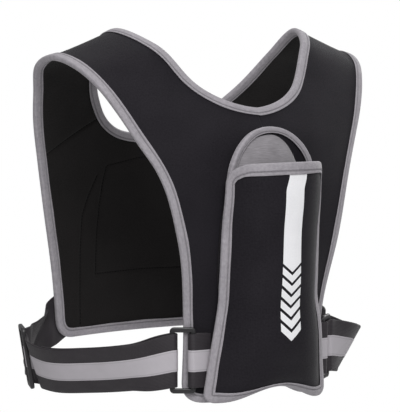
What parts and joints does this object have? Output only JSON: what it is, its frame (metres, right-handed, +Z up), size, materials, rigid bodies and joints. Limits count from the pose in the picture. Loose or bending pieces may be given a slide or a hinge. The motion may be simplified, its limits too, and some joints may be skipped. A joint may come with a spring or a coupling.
{
  "type": "running vest with phone pouch",
  "caption": "Worn neoprene running vest with grey bound edges, a bulged chest pouch for a phone, reflective chevrons and a webbing belt with rings and sliders.",
  "frame": {"origin": "on the middle plane between the shoulder straps, level with their inner edges where the vest sits on the shoulders", "axes": "+X to the wearer's left, -Y to the front, +Z up"},
  "size_m": [0.3668, 0.2555, 0.3455],
  "materials": {
    "neoprene": "black knit-faced neoprene, matte",
    "binding_tape": "grey folded tape, slight sheen",
    "brushed_lining": "grey brushed cloth",
    "reflective_film": "light silver reflective film",
    "webbing": "black ribbed webbing",
    "webbing_stripe": "grey woven reflective stripe",
    "black_plastic": "black moulded plastic, satin"
  },
  "bodies": {
    "root": {"front_panel_left": "neoprene", "front_panel_right": "neoprene", "back_panel": "neoprene", "neck_binding": "binding_tape", "edge_binding": "binding_tape", "pouch_binding": "binding_tape", "tongue_binding": "binding_tape", "pouch_face": "neoprene", "pouch_back": "neoprene", "pouch_lining": "brushed_lining", "reflective_stripe": "reflective_film", "chevron_1": "reflective_film", "chevron_2": "reflective_film", "chevron_3": "reflective_film", "chevron_4": "reflective_film", "chevron_5": "reflective_film", "chevron_6": "reflective_film", "tab_left": "webbing", "tab_stripe_left": "webbing_stripe", "ring_left": "black_plastic", "belt_left": "webbing", "belt_stripe_left": "webbing_stripe", "slider_left": "black_plastic", "tab_right": "webbing", "tab_stripe_right": "webbing_stripe", "ring_right": "black_plastic", "belt_right": "webbing", "belt_stripe_right": "webbing_stripe", "slider_right": "black_plastic"}
  },
  "joints": []
}
